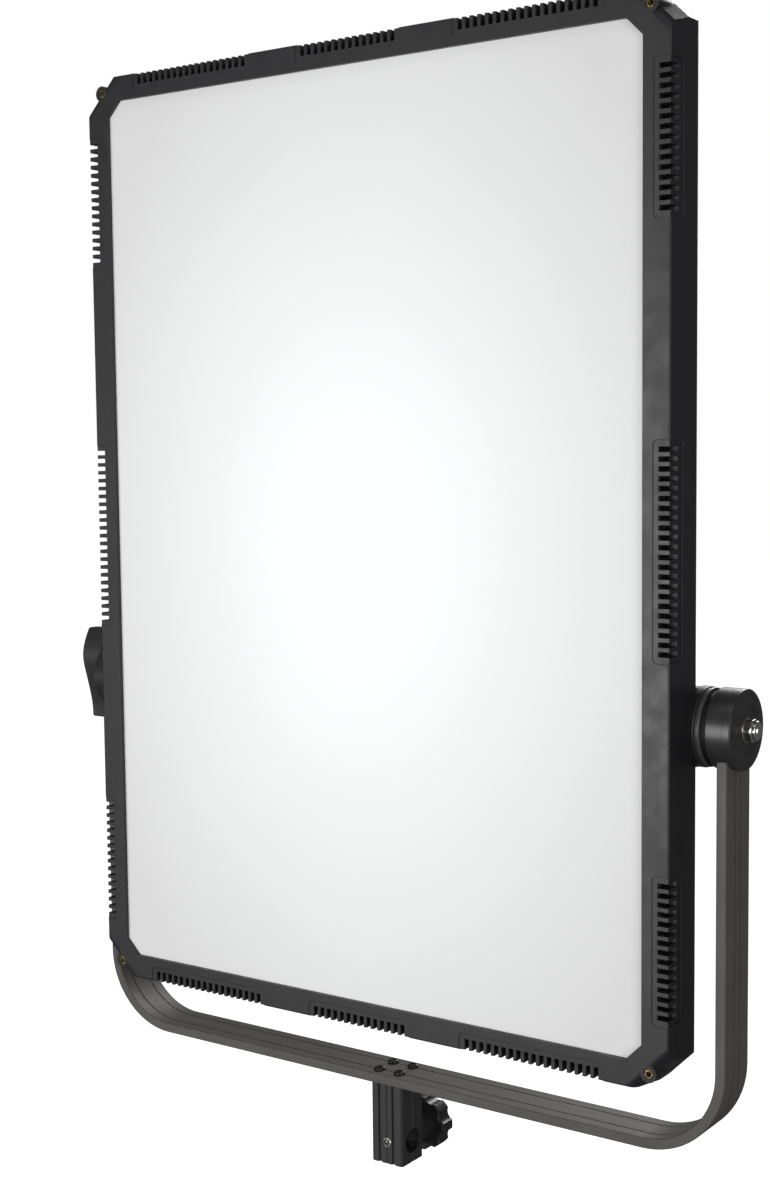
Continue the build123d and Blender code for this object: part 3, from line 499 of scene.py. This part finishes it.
paint("light_box", moulded("white_reflector", (0.80, 0.80, 0.79), 0.5, 2400, 0.00003, 0.0003,
                           0.04))
paint("heat_spreader",
      drawn_metal("bare_aluminium_plate", (0.55, 0.55, 0.56), "z", 0.32, 1.0, 0.08))
paint("led_strips", strip_laminate())
paint("led_lenses", clear_lens())

# ---- electronics ------------------------------------------------------------------------
# The power supply in its plated case, the driver board with coils and capacitors, and the
# posts and switches that stand on the boards. The boards are green glass-epoxy.


def green_board():
    """Solder resist over copper: tracks show as a paler criss-cross of lines."""
    material, link, shader, add = new_material("green_board_resist")
    place = add("TexCoord")
    tracks = add("TexBrick", Scale=60.0, offset=0.37)
    tracks.inputs["Color1"].default_value = (0.0, 0.0, 0.0, 1)
    tracks.inputs["Color2"].default_value = (0.25, 0.25, 0.25, 1)
    tracks.inputs["Mortar"].default_value = (1, 1, 1, 1)
    tracks.inputs["Mortar Size"].default_value = 0.04
    mapping = add("Mapping")
    mapping.inputs["Rotation"].default_value = (math.radians(90), 0, 0)
    link(place.outputs["Object"], mapping.inputs["Vector"])
    link(mapping.outputs["Vector"], tracks.inputs["Vector"])
    link(two_tones(link, add, tracks.outputs["Color"], (0.010, 0.075, 0.030), (0.03, 0.17, 0.07)),
         shader.inputs["Base Color"])
    grain = object_grain(link, add, 1800)
    link(between(link, add, grain, 0.25, 0.4), shader.inputs["Roughness"])
    raised(link, add, shader, grain, 0.00002, 0.3, 0.0002)
    return material


board = green_board()
paint("driver_board", board)
paint("control_board", board)
socket_plastic = moulded("black_socket_plastic", (0.022, 0.022, 0.023), 0.38, 2800, 0.00002,
                         0.0003)
for part in ("driver_parts", "button_switches", "switch_frame", "power_inlet", "data_in_socket",
             "data_out_socket", "display_module"):
    paint(part, socket_plastic)
case_metal = drawn_metal("plated_case", (0.42, 0.42, 0.41), "x", 0.34, 0.9, 0.1)
paint("power_supply", case_metal)
paint("encoder_bodies", case_metal)

# ---- control housing --------------------------------------------------------------------
# The moulded box on the back that carries the controls and sockets, held by four screws on
# posts. It is the same black plastic as the knobs, with a slightly coarser grain.

housing_tone = (0.030, 0.030, 0.031)
housing_plastic = moulded("black_housing_plastic", housing_tone, 0.47, 2200, 0.00005, 0.0005, 0.12)
paint("control_housing", housing_plastic)
paint("cover_posts", housing_plastic)

# ---- display ----------------------------------------------------------------------------
# A small display behind a smoked window. It shows two plain numbers, the level in percent
# and the colour temperature, as lit segments on a dark ground.


def smoked_window():
    material, link, shader, add = new_material("smoked_window")
    haze = object_grain(link, add, 500)
    fac = between(link, add, haze, 0.0, 1.0)
    link(two_tones(link, add, fac, (0.012, 0.014, 0.017), (0.020, 0.022, 0.026)),
         shader.inputs["Base Color"])
    link(between(link, add, haze, 0.05, 0.12), shader.inputs["Roughness"])
    shader.inputs["Coat Weight"].default_value = 0.6
    shader.inputs["Coat Roughness"].default_value = 0.05
    return material


def lit_segments():
    material, link, shader, add = new_material("lit_segments")
    grain = object_grain(link, add, 1500)
    fac = between(link, add, grain, 0.0, 1.0)
    colour = two_tones(link, add, fac, (0.45, 0.72, 0.85), (0.62, 0.88, 0.98))
    link(colour, shader.inputs["Base Color"])
    link(colour, shader.inputs["Emission Color"])
    shader.inputs["Emission Strength"].default_value = 0.9
    shader.inputs["Roughness"].default_value = 0.4
    return material


def marked_block(size, softened, rounds=1):
    """A small block at the origin with its edges softened, ready to be placed."""
    deselect()
    bpy.ops.mesh.primitive_cube_add(size=1)
    block = bpy.context.object
    block.scale = size
    bpy.ops.object.transform_apply(scale=True)
    bpy.ops.object.mode_set(mode="EDIT")
    bpy.ops.mesh.bevel(offset=softened, segments=rounds)
    bpy.ops.object.mode_set(mode="OBJECT")
    return block


def lettering(name, words, size, centre, finish, thickness=0.00006,
              lean=math.radians(90)):
    """Thin figures that face the back, made a mesh and settled."""
    deselect()
    bpy.ops.object.text_add()
    text = bpy.context.object
    text.data.body = words
    text.data.size = size
    text.data.align_x = "CENTER"
    text.data.align_y = "CENTER"
    text.data.extrude = thickness / 2
    text.data.resolution_u = 3
    bpy.ops.object.convert(target="MESH")
    piece = bpy.context.object
    bpy.ops.object.mode_set(mode="EDIT")
    bpy.ops.mesh.select_all(action="SELECT")
    bpy.ops.mesh.remove_doubles(threshold=0.000005)
    bpy.ops.mesh.normals_make_consistent(inside=False)
    bpy.ops.object.mode_set(mode="OBJECT")
    piece.rotation_euler = (lean, 0, math.radians(180))
    piece.location = centre
    piece.data.materials.append(finish)
    return settle(piece, name)


paint("display_window", smoked_window())
segments = lit_segments()
low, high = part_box("display_window")
middle = (low + high) / 2
figures_y = high.y + 0.00004
segment_thick = 0.00006
ink_edge = 0.00002
level = lettering("display_level", "100 %", 0.011,
                  (middle.x, figures_y, middle.z + 0.006), segments)
kelvin = lettering("display_kelvin", "5600 K", 0.0075,
                   (middle.x, figures_y, middle.z - 0.0085), segments)
rule = marked_block((0.046, segment_thick, 0.0006), ink_edge)
rule.location = (middle.x, figures_y, middle.z - 0.0018)
rule.data.materials.append(segments)
settle(rule, "display_rule")
for figures in (level, kelvin, rule):
    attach(figures, "panel")

# ---- knobs and their scales -------------------------------------------------------------
# Two fluted knobs on encoder shafts, one for the level and one for the colour. Each has a
# painted pointer, and a printed scale of eleven ticks with plain numbers round it.


def print_ink(name, tone):
    """Screen-printed ink, a little uneven and rubbed."""
    material, link, shader, add = new_material(name)
    rubs = object_grain(link, add, 900, (1, 1, 1), 4.0)
    fac = between(link, add, rubs, 0.0, 1.0)
    link(two_tones(link, add, fac, shade(tone, 0.78), tone), shader.inputs["Base Color"])
    link(between(link, add, rubs, 0.42, 0.6), shader.inputs["Roughness"])
    return material


white_ink = print_ink("white_print", (0.62, 0.62, 0.60))
knob_plastic = moulded("black_dial_plastic", knob_tone, 0.4, 2400, 0.00003, 0.0003)
shaft_metal = drawn_metal("turned_shaft", (0.55, 0.55, 0.56), "y", 0.28, 1.0, 0.08)
housing_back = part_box("control_housing")[1].y
tick_gap = 0.0022
tick_length = 0.0022
tick_width = 0.0005
ink_thick = 0.00008
number_size = 0.0034
number_gap = 0.0024
sweep = 270
ticks_on_scale = 11
numbered_every = 5
facing_back = Euler((math.radians(90), 0, math.radians(180))).to_matrix()


def on_scale(centre, out, turn):
    """A place on the housing's back, out from a knob's centre, seen from behind."""
    return (centre.x - out * math.cos(turn), housing_back + ink_thick / 2,
            centre.z + out * math.sin(turn))


for name, body in (("brightness", "brightness_dial"), ("colour", "colour_dial")):
    paint(name + "_knob", knob_plastic)
    paint(name + "_shaft", shaft_metal)
    low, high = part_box(name + "_knob")
    centre = (low + high) / 2
    radius = (high.x - low.x) / 2

    pointer = marked_block((0.0010, 0.0004, radius - 0.0045), 0.00012, 2)
    pointer.location = (centre.x, high.y - 0.0003, centre.z + radius / 2 + 0.0012)
    pointer.data.materials.append(white_ink)
    settle(pointer, name + "_pointer")
    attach(pointer, body)

    marks = []
    for step in range(ticks_on_scale):
        share = step / (ticks_on_scale - 1)
        turn = math.radians(90 + sweep / 2 - sweep * share)
        out = radius + tick_gap + tick_length / 2
        mark = marked_block((tick_length, tick_width, ink_thick), ink_edge)
        mark.rotation_euler = (facing_back @ Euler((0, 0, turn)).to_matrix()).to_euler()
        mark.location = on_scale(centre, out, turn)
        bpy.ops.object.transform_apply(location=True, rotation=True)
        marks.append(mark)
        if step % numbered_every == 0:
            out = radius + tick_gap + tick_length + number_gap
            marks.append(lettering("number", str(step), number_size,
                                   on_scale(centre, out, turn),
                                   white_ink, ink_thick))
    deselect()
    for mark in marks:
        mark.select_set(True)
    bpy.context.view_layer.objects.active = marks[0]
    bpy.ops.object.join()
    scale = bpy.context.object
    scale.data.materials.clear()
    scale.data.materials.append(white_ink)
    settle(scale, name + "_scale")
    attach(scale, "panel")

# ---- buttons ----------------------------------------------------------------------------
# Three menu buttons of dark silicone rubber over small switches: back, select and forward,
# each with a printed shape.

button_rubber = moulded("grey_silicone", (0.055, 0.055, 0.058), 0.58, 1700, 0.00004, 0.0005)
symbol_radius = 0.0021
symbol_stroke = 0.0005
shapes = (("left_button", 3, -90), ("middle_button", 24, 0), ("right_button", 3, 90))
for name, corners, turn in shapes:
    paint(name, button_rubber)
    low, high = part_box(name)
    deselect()
    bpy.ops.mesh.primitive_circle_add(vertices=corners, radius=symbol_radius,
                                      fill_type="NGON")
    symbol = bpy.context.object
    bpy.ops.object.mode_set(mode="EDIT")
    bpy.ops.mesh.select_all(action="SELECT")
    bpy.ops.mesh.inset(thickness=symbol_stroke)
    bpy.ops.mesh.delete(type="FACE")
    bpy.ops.mesh.select_all(action="SELECT")
    bpy.ops.mesh.extrude_region_move(
        TRANSFORM_OT_translate={"value": (0, 0, ink_thick)})
    bpy.ops.mesh.select_all(action="SELECT")
    bpy.ops.mesh.normals_make_consistent(inside=False)
    bpy.ops.object.mode_set(mode="OBJECT")
    symbol.rotation_euler = (math.radians(90), math.radians(turn), math.radians(180))
    symbol.location = ((low.x + high.x) / 2, high.y - ink_thick / 2, (low.z + high.z) / 2)
    symbol.data.materials.append(white_ink)
    settle(symbol, name + "_symbol")
    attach(symbol, name)

# ---- power switch and sockets -----------------------------------------------------------
# A rocker switch, the mains inlet with its three blades, and the data input and output.
# The rocker is gloss black with a printed line and ring, and the contacts are plated.


def gloss_rocker():
    material, link, shader, add = new_material("gloss_rocker_plastic")
    patches = object_grain(link, add, 120)
    fac = between(link, add, patches, 0.0, 1.0)
    link(two_tones(link, add, fac, (0.016, 0.016, 0.016), (0.024, 0.024, 0.024)),
         shader.inputs["Base Color"])
    link(between(link, add, patches, 0.12, 0.22), shader.inputs["Roughness"])
    raised(link, add, shader, patches, 0.00002, 0.3, 0.0004)
    return material


paint("power_rocker", gloss_rocker())
low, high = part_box("power_rocker")
middle = (low + high) / 2
mark_size = 0.0042
mark_rise = 0.0048
well_behind = 0.01
for name, figure, rise in (("rocker_on_mark", "I", mark_rise),
                           ("rocker_off_mark", "O", -mark_rise)):
    _, place, normal, _ = frame["nodes"]["power_rocker"].ray_cast(
        (middle.x, high.y + well_behind, middle.z + rise), (0, -1, 0))
    mark = lettering(name, figure, mark_size, place + normal * ink_thick / 2, white_ink,
                     ink_thick, math.atan2(normal.y, normal.z))
    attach(mark, "power_rocker")
contact_plate = plated_steel("plated_contact", (0.74, 0.71, 0.60), 0.22)
paint("inlet_pins", contact_plate)
paint("data_in_pins", contact_plate)

# ---- camera -----------------------------------------------------------------------------
# The light is seen from the front right, a little above its middle, with a normal lens.

turned_right = 0.61445
above = 0.08571
roll = -0.01084
camera_place = Vector((0.66491, -0.95006, 0.48190))
focal_share = 1.49256
long_side = 36.0
towards_camera = Vector((math.sin(turned_right) * math.cos(above),
                         -math.cos(turned_right) * math.cos(above), math.sin(above)))
lens = bpy.data.cameras.new("camera")
lens.sensor_width = long_side
lens.lens = focal_share * long_side
camera = bpy.data.objects.new("camera", lens)
bpy.context.scene.collection.objects.link(camera)
camera.rotation_mode = "QUATERNION"
camera.location = camera_place
camera.rotation_quaternion = ((-towards_camera).to_track_quat("-Z", "Y")
                              @ Quaternion((0, 0, 1), roll))
bpy.context.scene.camera = camera

# ---- studio -----------------------------------------------------------------------------
# A pale floor a stand's height below, a large soft light from the front left, weaker ones
# from the right and above, one behind, and an even pale surround.


def softbox(name, place, target, width, height, power):
    light = bpy.data.lights.new(name, "AREA")
    light.shape = "RECTANGLE"
    light.size = width
    light.size_y = height
    light.energy = power
    lamp = bpy.data.objects.new(name, light)
    bpy.context.scene.collection.objects.link(lamp)
    lamp.location = place
    lamp.rotation_euler = (Vector(target) - Vector(place)).to_track_quat("-Z", "Y").to_euler()


heart = (0, 0, 0.40)
softbox("key", (-0.75, -2.0, 0.20), heart, 1.1, 1.0, 26)
softbox("right", (2.3, -1.3, 0.5), heart, 1.3, 1.5, 26)
softbox("top", (-0.4, -0.6, 2.3), heart, 1.6, 1.2, 9)
softbox("back", (-0.3, 2.3, 1.7), heart, 1.0, 0.8, 42)

floor_drop = 1.1
deselect()
bpy.ops.mesh.primitive_plane_add(size=40, location=(0, 0, cad_box[0].z - floor_drop))
floor = bpy.context.object
floor.name = "floor"
material, link, shader, add = new_material("pale_floor")
shader.inputs["Base Color"].default_value = (0.9, 0.9, 0.9, 1)
shader.inputs["Roughness"].default_value = 0.8
shader.inputs["Emission Color"].default_value = (1, 1, 1, 1)
shader.inputs["Emission Strength"].default_value = 1.0
floor.data.materials.append(material)
floor.visible_diffuse = False
floor.visible_glossy = False

world = bpy.data.worlds.new("surround")
world.use_nodes = True
bpy.context.scene.world = world
sky = world.node_tree
ray = sky.nodes.new("ShaderNodeLightPath")
seen = sky.nodes.new("ShaderNodeBackground")
lighting = sky.nodes["Background"]
seen.inputs["Color"].default_value = (1, 1, 1, 1)
lighting.inputs["Color"].default_value = (0.95, 0.97, 1.0, 1)
lighting.inputs["Strength"].default_value = 0.10
choose = sky.nodes.new("ShaderNodeMixShader")
sky.links.new(ray.outputs["Is Camera Ray"], choose.inputs["Fac"])
sky.links.new(lighting.outputs["Background"], choose.inputs[1])
sky.links.new(seen.outputs["Background"], choose.inputs[2])
sky.links.new(choose.outputs["Shader"], sky.nodes["World Output"].inputs["Surface"])
bpy.context.scene.view_settings.view_transform = "Standard"
